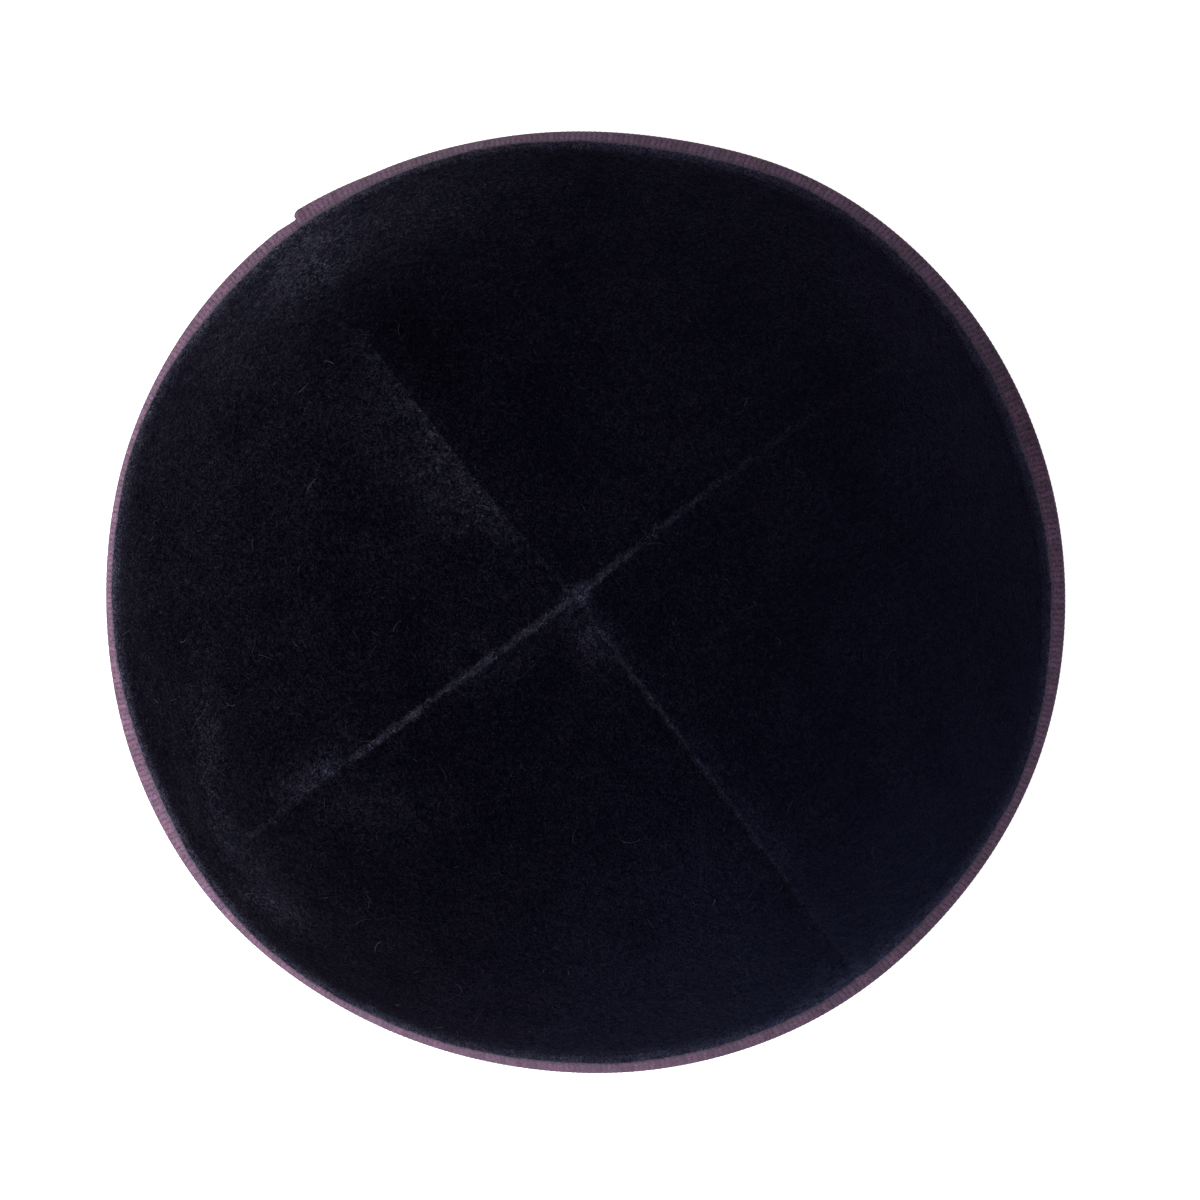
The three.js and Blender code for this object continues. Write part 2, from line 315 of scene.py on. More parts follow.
def bell(x, y, row):
    """How near a place is to a long mark on the cloth, from 0 to 1."""
    heading = np.radians(row[2])
    right, back = x - row[0] * WIDTH, y - row[1] * DEPTH
    along = right * np.cos(heading) + back * np.sin(heading)
    aside = back * np.cos(heading) - right * np.sin(heading)
    return np.exp(-((along / (row[3] * WIDTH)) ** 2 + (aside / (row[4] * WIDTH)) ** 2))


def smooth_step(x, low, high):
    share = np.clip((x - low) / (high - low), 0, 1)
    return share * share * (3 - 2 * share)


def swell_at(direction, t, first, last):
    plain = cap_point(direction, t, PILE)
    share = (direction - first) / (last - first)
    ridge = SEAM_RIDGE * np.cos(2 * np.pi * share) * np.sin(np.pi * t) ** 2
    lift = sum(row[5] * HEIGHT * bell(plain[..., 0], plain[..., 1], row) for row in FOLDS)
    ribbon_top = OUTER_LEAF + FIT + HEM_SHOULDER
    return (ridge + lift) * smooth_step(plain[..., 2], ribbon_top, ribbon_top + FREE_HEIGHT)


print("seams end at", SEAM_ENDS)

# %% [markdown]
# Velvet looks lighter where its pile leans towards the eye and where it has been brushed, which is sheen. A
# seam's ridge is lighter on the side that faces the lamp and darker on the side that turns away from it.
# These marks are painted sheen and painted shade, kept on the cloth as a value at each point: lighter above
# zero, darker below. A short table places each mark. The pile also parts along each seam and catches the
# light there, which is painted as a light line, strongly along the lower left seam and only here and there
# along the others.

# %% Painted sheen and shade in the pile
BRUSHED_PILE_SHEEN_AND_SHADE = (
    (-0.282, 0.365, 40, 0.055, 0.04, 0.5),
    (-0.18, 0.405, 24, 0.13, 0.045, 0.27),
    (-0.345, 0.29, 55, 0.09, 0.05, 0.08),
    (-0.371, -0.163, 96, 0.08, 0.016, 0.21),
    (-0.31, -0.318, -20, 0.045, 0.014, 0.28),
    (-0.345, -0.262, -48, 0.07, 0.028, 0.14),
    (0.022, -0.027, -55, 0.036, 0.017, 0.6),
    (0.011, 0.012, 36, 0.009, 0.006, 3.0),
    (0.187, -0.248, -54, 0.035, 0.02, 0.2),
    (0.3, -0.375, 36, 0.09, 0.022, 0.6),
    (-0.08, -0.055, 40, 0.06, 0.035, 0.15),
)
ON_ONE_PANEL = (
    ("left", (-0.097, 0.12, 131, 0.08, 0.03, 0.52)),
    ("left", (-0.158, 0.207, 128, 0.085, 0.02, 0.34)),
    ("left", (-0.165, 0.158, 130, 0.09, 0.045, 0.05)),
    ("left", (-0.25, -0.172, 33, 0.042, 0.02, 0.5)),
    ("front", (-0.19, -0.2, 10, 0.05, 0.035, 0.13)),
    ("back", (-0.15, 0.275, 128, 0.08, 0.05, -0.36)),
    ("back", (-0.078, 0.2, 118, 0.06, 0.02, 0.09)),
)
SEAM_SHARES = (0.0, 0.1, 0.2, 0.35, 0.515, 0.54, 0.72, 0.86, 1.0)
SEAM_LIGHTS = (
    (0.15, 0.35, 0.82, 0.46, 0.42, 0.42, 0.4, 0.25, 0.1),
    (1.4, 1.05, 0.7, 0.5, 0.42, 0.4, 0.3, 0.15, 0.1),
    (0.6, 0.25, 0.05, 0.05, 0.0, 0.0, 0.0, 0.0, 0.0),
    (1.6, 1.3, 1.1, 1.1, 1.25, 0.2, 0.15, 0.12, 0.1),
)
SEAM_WIDTHS = (0.6, 0.62, 0.35, 0.62)


def brushed_sheen_and_shade_at(x, y, panel_name):
    """Painted sheen and shade of brushed pile. Some marks stop sharply at a seam, so they belong to the
    panel on one side of it.
    """
    marks = list(BRUSHED_PILE_SHEEN_AND_SHADE) + [row for name, row in ON_ONE_PANEL if name == panel_name]
    return sum(row[5] * bell(x, y, row) for row in marks)


# Painted sheen of the cut pile beside the ribbon, for every 20 degrees round the rim: close to the ribbon
# and wider above it.
EDGE_TURNS = tuple(range(0, 361, 20))
EDGE_CLOSE = (
    1.4, 1.2, 1.25, 1.4, 1.8, 1.9, 1.8, 1.3, 0.5, 0.9, 1.7, 1.15, 1.2, 1.1, 1.1, 1.2, 1.25, 1.35, 1.4,
)
EDGE_WIDE = (
    1.15, 2.3, 2.1, 1.8, 1.8, 0.35, 0.5, 0.7, 0.65, 0.55, 0.35, 0.4, 0.45, 0.6, 1.3, 2.0, 1.6, 1.2, 1.15,
)


def edge_light_at(direction, above_ribbon):
    """Painted sheen of the cut pile beside the ribbon: light at its very edge and less so for two
    millimetres above.
    """
    turned = np.mod(direction, 360)
    lean = rim_at(direction)[1]
    close = np.interp(turned, EDGE_TURNS, EDGE_CLOSE) * np.exp(-((above_ribbon * lean / 0.38) ** 2))
    wide = np.interp(turned, EDGE_TURNS, EDGE_WIDE) * np.exp(-((above_ribbon * lean / 1.08) ** 2))
    return close + wide


def seam_light_at(seam, t):
    return np.interp(share_of_reach(t), SEAM_SHARES, SEAM_LIGHTS[seam % 4])


print(len(BRUSHED_PILE_SHEEN_AND_SHADE), "marks in the pile")

# %% [markdown]
# The velvet is nearly black with a navy cast. Real velvet scatters light from the tips of its pile, so
# its shader has no gloss, a very dark colour and a little sheen. Three sizes of noise make it speckled:
# the tips of single tufts, blotches where tufts lean together, and wide clouds. The tips also differ in
# hue, some bluer and some more violet, as in dyed cotton pile, and they raise the surface a little.
# The speckle is stronger at the left, and a wide area in front of the crown is a little dimmer. The pile's
# colour is painted darker at the left, where the lamp falls, and lighter at the right. This painted shade
# and painted light make both sides look about as light. Painted sheen and shade from brushed places, the
# seams and the ribbon's edge are added in a lighter, lit colour.

# %% Velvet
# In each pair the left colour is painted shade and the right colour painted light, set against the lamp at
# the left.
PILE_FRONT_SHADED_TO_LIT = (0.0011, 0.00092, 0.0019, 1.0), (0.0052, 0.0056, 0.0138, 1.0)
PILE_BACK_SHADED_TO_LIT = (0.0018, 0.0016, 0.0034, 1.0), (0.0054, 0.0052, 0.0116, 1.0)
DIM_PLACE, DIM_REACH, DIM_LIGHT = (0.0, -42.0, 42.0), 45.0, 0.74
VIOLET_TIPS, BLUE_TIPS = (1.19, 0.94, 0.93, 1.0), (0.81, 1.04, 1.07, 1.0)
LIT_FRONT = (0.0087, 0.0089, 0.0142, 1.0), (0.0079, 0.0086, 0.0162, 1.0)
LIT_BACK = (0.0087, 0.0089, 0.0142, 1.0), (0.0097, 0.0082, 0.0156, 1.0)


def share_along(finish, place, axis, reach=60.0):
    """From 0 at one side of the cap to 1 at the other."""
    parts = finish.add("ShaderNodeSeparateXYZ", {0: place})
    return finish.span(parts.outputs[axis], -reach, reach, 0.0, 1.0)


def near(finish, place, spot, reach, factor):
    """A value that is the given factor at a spot and 1 beyond its reach."""
    away = finish.add("ShaderNodeVectorMath", {0: place, 1: spot}, operation="DISTANCE")
    return finish.span(away.outputs["Value"], 0.0, reach, factor, 1.0)


def across_cap(finish, place, front, back):
    """Mixes four colours, the left and right of the front and of the back, over the cap."""
    to_right = finish.sum("POWER", share_along(finish, place, "X"), 1.8)
    ends = finish.mix(to_right, *front), finish.mix(to_right, *back)
    mixed = finish.mix(share_along(finish, place, "Y"), *ends)
    return finish.scaled(mixed, near(finish, place, DIM_PLACE, DIM_REACH, DIM_LIGHT))


def from_crown(finish, place, start, end):
    """A value that runs from the crown to the rim."""
    level = finish.add("ShaderNodeVectorMath", {0: place, 1: (1.0, 1.0, 0.0)}, operation="MULTIPLY")
    length = finish.add("ShaderNodeVectorMath", {0: level.outputs[0]}, operation="LENGTH")
    return finish.span(length.outputs["Value"], 10.0, 75.0, start, end)


velvet = Finish("velvet")
plain_settings(velvet, 1.0, 0.0)
velvet.shader.inputs["Sheen Weight"].default_value = 0.018
velvet.shader.inputs["Sheen Roughness"].default_value = 0.35
velvet.shader.inputs["Sheen Tint"].default_value = (0.64, 0.62, 1.0, 1.0)

place = velvet.millimetres()
tips = velvet.noise(place, 2.9, 2.0, 0.4, 0.7)
tufts = velvet.noise(place, 1.1, 2.0, 1.0, 0.6)
curls = velvet.noise(place, 0.9, 2.0, 5.0, 0.7)
cloudy = velvet.noise(place, 0.09, 3.0, 0.5)
hues = velvet.noise(place, 1.7, 2.0, 0.6, 0.7)
clumps = velvet.noise(place, 0.5, 2.0, 1.5, 0.6)

middle_dim = from_crown(velvet, place, 0.85, 1.16)
navy = velvet.scaled(across_cap(velvet, place, PILE_FRONT_SHADED_TO_LIT, PILE_BACK_SHADED_TO_LIT), middle_dim)
tip_light = velvet.span(tips, 0.34, 0.66, 0.2, 1.9)
tuft_light = velvet.span(tufts, 0.34, 0.66, 0.6, 1.4)
curl_light = velvet.span(curls, 0.5, 0.66, 0.85, 1.8)
cloud_light = velvet.span(cloudy, 0.3, 0.7, 0.82, 1.18)
clump_light = velvet.span(clumps, 0.36, 0.64, 0.88, 1.12)
fine_light = velvet.sum("MULTIPLY", velvet.sum("MULTIPLY", tip_light, tuft_light), curl_light)
wide_light = velvet.sum("MULTIPLY", cloud_light, clump_light)
grain_across = velvet.span(share_along(velvet, place, "X", 80.0), 0.0, 1.0, 1.3, 0.5)
grain_along = velvet.span(share_along(velvet, place, "Y", 80.0), 0.0, 1.0, 1.0, 1.4)
grain = velvet.sum("MULTIPLY", grain_across, grain_along)
pile_light = velvet.sum("POWER", velvet.sum("MULTIPLY", fine_light, wide_light), grain)
blue_light = velvet.sum("MULTIPLY", velvet.sum("POWER", pile_light, 0.72), 1.06)
pile_lights = velvet.add("ShaderNodeCombineXYZ", {0: pile_light, 1: pile_light, 2: blue_light}).outputs[0]

# Painted sheen and shade of brushed pile, the seams' painted light line and the painted sheen beside the
# ribbon, all added in the lit colour.
brushed_sheen_shade = velvet.attribute("brushed_sheen_shade")
clumped = velvet.span(clumps, 0.36, 0.64, 0.5, 1.55)
lightened = velvet.sum("MULTIPLY", velvet.sum("MAXIMUM", brushed_sheen_shade, 0.0), clumped)
darkened = velvet.span(brushed_sheen_shade, -0.5, 0.0, 0.4, 1.0)
seam_gap = velvet.attribute("seam_gap")
seam_light = velvet.attribute("seam_light")
seam_fall = velvet.sum("MULTIPLY", velvet.sum("POWER", seam_gap, 3.0), -1.0)
near_seam = velvet.sum("POWER", 2.718, seam_fall)
broken = velvet.span(velvet.noise(place, 0.6, 3.0, 0.5), 0.38, 0.62, 0.1, 1.5)
line_light = velvet.sum("MULTIPLY", velvet.sum("MULTIPLY", near_seam, seam_light), broken)
extra = velvet.sum("ADD", velvet.sum("ADD", lightened, line_light), velvet.attribute("edge_light"))

lit_ends = [velvet.mix(share_along(velvet, place, "X"), *ends) for ends in (LIT_FRONT, LIT_BACK)]
lit_colour = velvet.mix(share_along(velvet, place, "Y"), *lit_ends)
both_piles = velvet.added(velvet.scaled(navy, darkened), velvet.scaled(lit_colour, extra))
hue = velvet.mix(velvet.span(hues, 0.36, 0.64, 0.0, 1.0), VIOLET_TIPS, BLUE_TIPS)
dyed = velvet.multiplied(velvet.multiplied(both_piles, pile_lights), hue)
velvet.give(velvet.shader.inputs["Base Color"], dyed)
pile_height = velvet.sum("ADD", velvet.sum("MULTIPLY", tips, 0.5), tufts)
velvet.give(velvet.shader.inputs["Normal"], velvet.bump(pile_height, 0.4 * MM))
print("velvet has", len(velvet.tree.nodes), "nodes")

# %% [markdown]
# Inside, the cap shows the back of the velvet: a plain, closely woven cotton in the same dark colour.
# Two waves at right angles make its weave. It isn't seen in the picture, so it is kept simple.

# %% The velvet's woven back
backing = Finish("velvet_backing")
plain_settings(backing, 0.95, 0.0)
place = backing.millimetres()
thread = {"Vector": place, "Scale": 0.55}
warp = backing.add("ShaderNodeTexWave", thread, bands_direction="X").outputs["Fac"]
weft = backing.add("ShaderNodeTexWave", thread, bands_direction="Y").outputs["Fac"]
weave = backing.sum("MULTIPLY", warp, weft)
slubs = backing.noise(place, 0.35, 4.0)
weave_share = backing.sum("MULTIPLY", weave, backing.span(slubs, 0.3, 0.7, 0.6, 1.2))
threads = backing.mix(weave_share, (0.006, 0.006, 0.012, 1.0), (0.022, 0.022, 0.036, 1.0))
backing.give(backing.shader.inputs["Base Color"], threads)
backing.give(backing.shader.inputs["Normal"], backing.bump(weave, 0.12 * MM))
print("backing has", len(backing.tree.nodes), "nodes")

# %% [markdown]
# Each panel is a quarter of the dome. A grid is the start: its columns run from seam to seam, closer
# together beside the seams, and its rows run from the crown to the hem inside the ribbon. Its points
# are laid on the section, with a narrow groove along the seams and a soft lip of pile that rolls over
# the ribbon's edge. Cloth simulation was the other way, but a stretched cap is held by its seams and
# its measured rim, and a simulation would only move those.

# %% Rows and columns of a panel
COLUMNS, DOME_ROWS = 144, 104
GROOVES, GROOVE_HALF = (0.22, 0.22, 0.05, 0.15), 0.6
SHOULDER_DEPTH, SHOULDER_HALF, CROWN_DIMPLE = 0.3, 2.6, 0.46
LEAF_TURNS = (
    0, 10, 20, 30, 40, 60, 80, 100, 110, 120, 130, 140, 150, 160, 170, 180, 190, 200, 210, 220, 230, 240,
    260, 280, 300, 320, 330, 345, 360,
)
LEAF_RAISES = (
    0.8, 0.4, 1.0, 0.5, 1.1, 0.9, 0.9, 0.6, 1.0, 1.3, 1.0, 1.2, 0.1, -0.7, 0.6, -0.1, 0.6, 1.2, 1.5,
    0.6, -0.2, 0.3, 0.9, 0.9, 0.9, 0.5, 0.3, 0.7, 0.8,
)
LIP = (
    (2.3, 0.3, 2.3), (1.6, 0.29, 1.6), (1.1, 0.24, 1.1), (0.75, 0.15, 0.8), (0.45, 0.04, 0.6),
    (0.2, -0.06, 0.45), (0.0, -0.12, 0.35), (-0.12, -0.11, 0.28), (-0.14, -0.06, 0.24),
    (-0.04, -0.03, 0.22), (0.06, 0.05, 0.2), (0.08, 0.45, 0.18), (0.06, 0.9, 0.15), (0.0, 1.3, 0.1),
    (-0.6, 1.3, -0.6), (-1.6, 1.3, -1.6), (-2.7, 1.3, -2.7), (-3.7, 1.3, -3.7),
)


def solve_rise(height):
    low, high = 0.0, 1.3
    for _ in range(40):
        middle = (low + high) / 2
        low, high = (middle, high) if rise_at(middle) > height else (low, middle)
    return (low + high) / 2


LAST_ROW = solve_rise(OUTER_LEAF + FIT + HEM_SHOULDER)
row_places = np.concatenate([np.linspace(0.0, LAST_ROW, DOME_ROWS), np.full(len(LIP), LAST_ROW)])
even = np.linspace(0, 1, COLUMNS + 1)
column_shares = 0.15 * even + 0.85 * (1 - np.cos(np.pi * even)) / 2
print("rows", len(row_places), "columns", len(column_shares))

# %% [markdown]
# The ribbon was sewn on by hand, so its upper edge wanders by up to a millimetre and a half. A table gives
# that for a few directions. The velvet's lip follows the same line, or gaps would open between the two.


# %% The upper edge of the ribbon
every_degree = np.arange(0, 361)
plain_raises = np.interp(every_degree, LEAF_TURNS, LEAF_RAISES)[:-1]
soft_raises = np.mean([np.roll(plain_raises, step) for step in range(-4, 5)], axis=0)
soft_raises = np.append(soft_raises, soft_raises[0])


def leaf_at(direction):
    small_waves = 0.07 * sum(np.sin(np.radians(direction) * n + n) for n in (9, 17, 29, 53))
    return OUTER_LEAF + np.interp(np.mod(direction, 360), every_degree, soft_raises) + small_waves


edge_heights = leaf_at(every_degree)
print("upper edge of the ribbon", edge_heights.min().round(2), "to", edge_heights.max().round(2))


# %% [markdown]
# At a seam the cloth dips, because the stitches pull it in. A narrow groove lies in a wide, shallow one.
# Both are sums of bell curves, so that the dip fades out with no edge. At the crown the four grooves
# meet, and one depth for all of them closes the dome in a single point.


# %% The groove along a seam
def of_seams(values, panel, to_last):
    """A seam's value, from a panel's first seam over to its last."""
    return values[panel] * (1 - to_last) + values[(panel + 1) % 4] * to_last


def groove_at(panel, gap, to_last):
    """How deep the pile lies, some millimetres from a seam, below the plain dome."""
    groove = of_seams(GROOVES, panel, to_last) * np.exp(-((gap / GROOVE_HALF) ** 2))
    return groove + SHOULDER_DEPTH * np.exp(-((gap / SHOULDER_HALF) ** 2))


print("the groove is", [round(float(groove_at(panel, 0.0, 0.0)), 2) for panel in range(4)], "mm deep")


# %% [markdown]
# Every point of a panel is worked out for its outer and its inner skin, together with the values that the
# velvet's finish reads: how far the seam is, how light the seam is painted there, the painted sheen and
# shade of brushed pile, and the painted sheen beside the ribbon.
# Shaping the grid by hand in edit mode would be the other way, but no hand could keep to the section.


# %% Lay the points of a panel
def panel_points(panel):
    t = row_places[:, None]
    run = np.maximum(cap_point(0.0, t, PILE)[..., 0] - CROWN_RIGHT, 0.05)
    first, last = seam_direction(panel, t), seam_direction(panel + 1, t)
    width = last - first
    direction = first + width * column_shares
    from_first = np.radians(direction - first) * run
    from_last = np.radians(last - direction) * run
    gap = np.minimum(from_first, from_last)
    to_last = smooth_step(column_shares, 0.35, 0.65)

    swell = swell_at(direction, t, first, last)
    groove = groove_at(panel, gap, to_last)
    groove[0] = CROWN_DIMPLE
    outside = cap_point(direction, t, PILE + groove - swell)
    inside = cap_point(direction, t, PANEL_INSIDE - swell)
    leaf = leaf_at(direction[-1])
    wander = 0.05 * sum(np.sin(np.radians(direction[-1]) * n + n * n) for n in (23, 41, 67, 97))
    for index, (above, depth, inside_above) in enumerate(LIP):
        row = DOME_ROWS + index
        follows = np.clip(1 - above / 2.8 if above > 0 else 1 + above / 3.7, 0, 1)
        raised = (leaf - OUTER_LEAF) * follows
        at_lip = wander * np.exp(-((above / 0.5) ** 2)) if depth < 0.3 else 0.0
        outside[row] = cap_point_at_height(direction[row], OUTER_LEAF + above + raised + at_lip, depth)
        inside_height = OUTER_LEAF + inside_above + raised
        inside[row] = cap_point_at_height(direction[row], inside_height, PANEL_INSIDE)
    light = seam_light_at(panel, t) * (1 - to_last) + seam_light_at(panel + 1, t) * to_last
    brushed_sheen_and_shade_here = brushed_sheen_and_shade_at(outside[..., 0], outside[..., 1], PANEL_NAMES[panel])
    edge = edge_light_at(direction, np.maximum(outside[..., 2] - leaf, 0))
    gap = gap / of_seams(SEAM_WIDTHS, panel, to_last)
    return (outside - MIDDLE) * MM, (inside - MIDDLE) * MM, gap, light, brushed_sheen_and_shade_here, edge


def edit(piece, *steps):
    """Runs mesh operators in edit mode on all of a piece."""
    bpy.ops.object.select_all(action="DESELECT")
    piece.select_set(True)
    bpy.context.view_layer.objects.active = piece
    bpy.ops.object.mode_set(mode="EDIT")
    bpy.ops.mesh.select_all(action="SELECT")
    for step in steps:
        step()
    bpy.ops.object.mode_set(mode="OBJECT")


def set_points(mesh, points):
    mesh.vertices.foreach_set("co", np.asarray(points, np.float32).ravel())
    mesh.update()


def set_attribute(mesh, name, values):
    attribute = mesh.attributes.new(name, "FLOAT", "POINT")
    attribute.data.foreach_set("value", np.asarray(values, np.float32).ravel())


def add_grid(name, columns, rows):
    """Adds a grid with its points in rows, and returns it with the order of its points."""
    bpy.ops.object.select_all(action="DESELECT")
    bpy.ops.mesh.primitive_grid_add(x_subdivisions=columns, y_subdivisions=rows, size=1.0)
    piece = bpy.context.object
    piece.name = name
    places = np.empty(len(piece.data.vertices) * 3, np.float32)
    piece.data.vertices.foreach_get("co", places)
    places = places.reshape(-1, 3)
    column = np.rint((places[:, 0] + 0.5) * columns).astype(int)
    row = np.rint((0.5 - places[:, 1]) * rows).astype(int)
    return piece, row, column


print("panel 0 spans", np.ptp(panel_points(0)[0].reshape(-1, 3), axis=0).round(4))

# %% [markdown]
# The grid is given its wall by a Solidify modifier, which also makes the cut edges along the seams and
# gives the inside its own material. Solidify keeps the first skin's points in front and adds the second
# skin's in the same order, so the inner skin can then be laid on the exact inside of the solid.


def make_panel(panel):
    side_name = PANEL_NAMES[panel]
    piece, row, column = add_grid("velvet_" + side_name, COLUMNS, len(row_places) - 1)
    outside, inside, gap, light, brushed_sheen_and_shade_here, edge = panel_points(panel)
    set_points(piece.data, outside[row, column])
    set_attribute(piece.data, "seam_gap", gap[row, column])
    set_attribute(piece.data, "seam_light", light[row, column])
    set_attribute(piece.data, "brushed_sheen_shade", brushed_sheen_and_shade_here[row, column])
    set_attribute(piece.data, "edge_light", edge[row, column])
    edit(piece, lambda: bpy.ops.mesh.normals_make_consistent(inside=False))
    if np.mean([face.normal.z for face in piece.data.polygons]) < 0:
        edit(piece, bpy.ops.mesh.flip_normals)
    piece.data.materials.append(velvet.material)
    piece.data.materials.append(backing.material)
    wall = piece.modifiers.new("wall", "SOLIDIFY")
    wall.thickness = 2.0 * MM
    wall.offset = -1.0
    wall.material_offset = 1
    bpy.ops.object.modifier_apply(modifier=wall.name)
    points = np.concatenate([outside[row, column], inside[row, column]])
    set_points(piece.data, points)
    edit(piece, lambda: bpy.ops.mesh.remove_doubles(threshold=0.01 * MM))
    bpy.ops.object.shade_smooth_by_angle(angle=np.radians(50))
    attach(piece, "root")
    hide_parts("panel_" + side_name)
    print(piece.name, len(piece.data.polygons), "faces")
    return piece


panels = [make_panel(panel) for panel in range(4)]

# %% [markdown]
# Grosgrain is woven with thick cross threads, so it has ribs across its whole width, here about one to
# a millimetre. The ribs are real shape and not bump, because the ribbon's edge shows them from the
# side. The ribbon is a long strip, started as a grid, folded over the panels' hem and given its
# thickness. It starts under its own end, goes round once, and ends on top of its start.

# %% The ribbon as a folded strip
RIB_PITCH, RIB_HEIGHT, STEPS_PER_RIB = 1.02, 0.05, 4
RIBBON_WALL, LAP_GAP = 0.7, 0.06
START_DIRECTION, END_DIRECTION = 119.5, 126.9
SELVEDGE = 0.6
FOLDED = (
    (0.06, 5.0), (0.0, 4.85), (0.0, 4.5), (0.0, 3.9), (0.0, 3.0), (0.0, 2.0), (0.0, 1.2), (0.02, 0.75),
    (0.16, 0.32), (0.5, 0.05), (0.95, 0.0), (1.9, 0.0), (2.9, 0.0), (3.4, 0.1), (3.72, 0.5),
    (3.8, 1.2), (3.8, 2.5), (3.8, 4.0), (3.8, 5.0),
)
fold_depths = np.array([row[0] for row in FOLDED])
fold_heights = np.array([row[1] for row in FOLDED])
fold_lengths = np.concatenate([[0], np.cumsum(np.hypot(np.diff(fold_depths), np.diff(fold_heights)))])

turn = np.linspace(START_DIRECTION, END_DIRECTION + 360, 4000)
rim_line = cap_point(turn, 1.0, 0.0)
rim_lengths = np.concatenate([[0], np.cumsum(np.linalg.norm(np.diff(rim_line, axis=0), axis=1))])
ribs = int(round(rim_lengths[-1] / RIB_PITCH))
rib_length = rim_lengths[-1] / ribs
along = np.linspace(0, rim_lengths[-1], ribs * STEPS_PER_RIB + 1)
ribbon_turn = np.interp(along, rim_lengths, turn)
ribbon_size = round(rim_lengths[-1], 1), round(fold_lengths[-1], 1)
print("ribbon", ribbon_size, "mm long and wide,", ribs, "ribs")


# %% [markdown]
# The strip is laid round the rim by its length, and each rib is a small wave of its depth. Its start is
# pressed in under its end, and the end swells out over it and is rounded where it was cut. At its upper
# edge the end lies nearly flat, as a ribbon that is sewn down does.


# %% Lay the ribbon's points
def ribbon_points():
    to_end = (along[-1] - along)[:, None]
    from_start = along[:, None]
    over = LAP_LIFT * np.clip(1 - to_end / LAP_LENGTH, 0, 1)
    under_length = np.interp(END_DIRECTION, turn, rim_lengths)
    above_here = LAP_LIFT * np.clip(1 - (under_length - from_start) / LAP_LENGTH, 0, 1)
    raised = (RIBBON_WALL + LAP_GAP) * (1 - smooth_step(from_start, under_length + 0.4, under_length + 5))
    height_share, is_outer = fold_heights[None, :] / OUTER_LEAF, (fold_depths < 2)[None, :]
    closed = 1 - 0.75 * height_share * is_outer
    pressed = np.maximum(RIBBON_WALL + LAP_GAP - above_here * closed, 0.0)
    sunk = np.where(from_start < under_length, pressed, 0.0)
    middle = (fold_depths[None, :] - RIBBON_BACK / 2) / (RIBBON_BACK / 2)
    depth = fold_depths[None, :] + middle * over * closed - middle * sunk
    height = fold_heights[None, :] + raised * (1 - fold_heights[None, :] / OUTER_LEAF)
    rib = (0.5 - 0.5 * np.cos(2 * np.pi * along / rib_length))[:, None]
    from_edge = np.minimum(fold_lengths, fold_lengths[-1] - fold_lengths)
    ribbed = smooth_step(from_edge, 0.3, SELVEDGE)[None, :]
    bead = 0.07 * np.exp(-(((from_edge - 0.3) / 0.3) ** 2))[None, :]
    relief = RIB_HEIGHT * (rib - 1) * ribbed + bead - 0.05 * (1 - ribbed)
    outwards = -np.clip(middle * 1.2, -1, 1)
    depth = depth - outwards * relief
    rounded = np.clip(1 - to_end / 1.3, 0, 1) ** 2
    height = height - 0.5 * rounded * height_share ** 2
    depth = depth + 0.9 * rounded * (1 - height_share) ** 2 * is_outer
    height = height + (leaf_at(ribbon_turn)[:, None] - OUTER_LEAF) * height_share ** 2 * is_outer
    points = cap_point_at_height(ribbon_turn[:, None], np.maximum(height, 0.0), depth)
    low = fold_heights[None, :] < 0.4
    points[..., 2] += np.where(low, -RIB_HEIGHT * 0.5 * (rib - 1), 0.0)
    return (points - MIDDLE) * MM


ribbon_laid = ribbon_points()
print("lowest point of the ribbon in mm", round(float(ribbon_laid[..., 2].min() / MM), 3))

# %% [markdown]
# The ribbon is a dull plum, mottled with rose and blue because its threads take the dye unevenly. Dark gaps
# between the ribs are painted shade, stronger in some places than others. The woven edge is smoother and
# lighter, with a shallow groove beside it whose shade is painted as a darker line. The fold at the bottom is
# painted lighter and greyer, a painted highlight of the light from the floor. Along its upper edge, next to
# the velvet, the ribbon is darker. Three wide areas of the rim have painted light or painted shade. What
# follows the strip is read from the ribbon's own UV map, in millimetres along and across it, and the
# mottling from its place on the cap.

# %% Grosgrain
BLUE_PLUM, ROSE_PLUM = (0.065, 0.041, 0.08, 1.0), (0.095, 0.04, 0.066, 1.0)
# The gap colour is painted shade between the ribs, and the fold colour a painted highlight of the light from
# the floor.
PAINTED_GAP_SHADE, PAINTED_FOLD_HIGHLIGHT = (0.017, 0.006, 0.014, 1.0), (0.11, 0.07, 0.115, 1.0)
# The second colour darkens the ribbon's upper edge, next to the velvet.
WOVEN_EDGE, DARK_UPPER_EDGE = (0.1, 0.05, 0.088, 1.0), (0.032, 0.03, 0.046, 1.0)
TINT_LEFT, TINT_RIGHT = (1.05, 1.03, 1.0, 1.0), (1.04, 0.95, 1.18, 1.0)
# Painted light and shade on three wide areas of the rim, each given by a place, a reach and a factor.
PAINTED_RIM_LIGHT_AND_SHADE = (
    ((80.0, 41.0, 3.0), 34.0, 0.66),
    ((-78.0, 42.0, 3.0), 34.0, 1.18),
    ((-22.0, -86.0, 3.0), 60.0, 0.84),
)
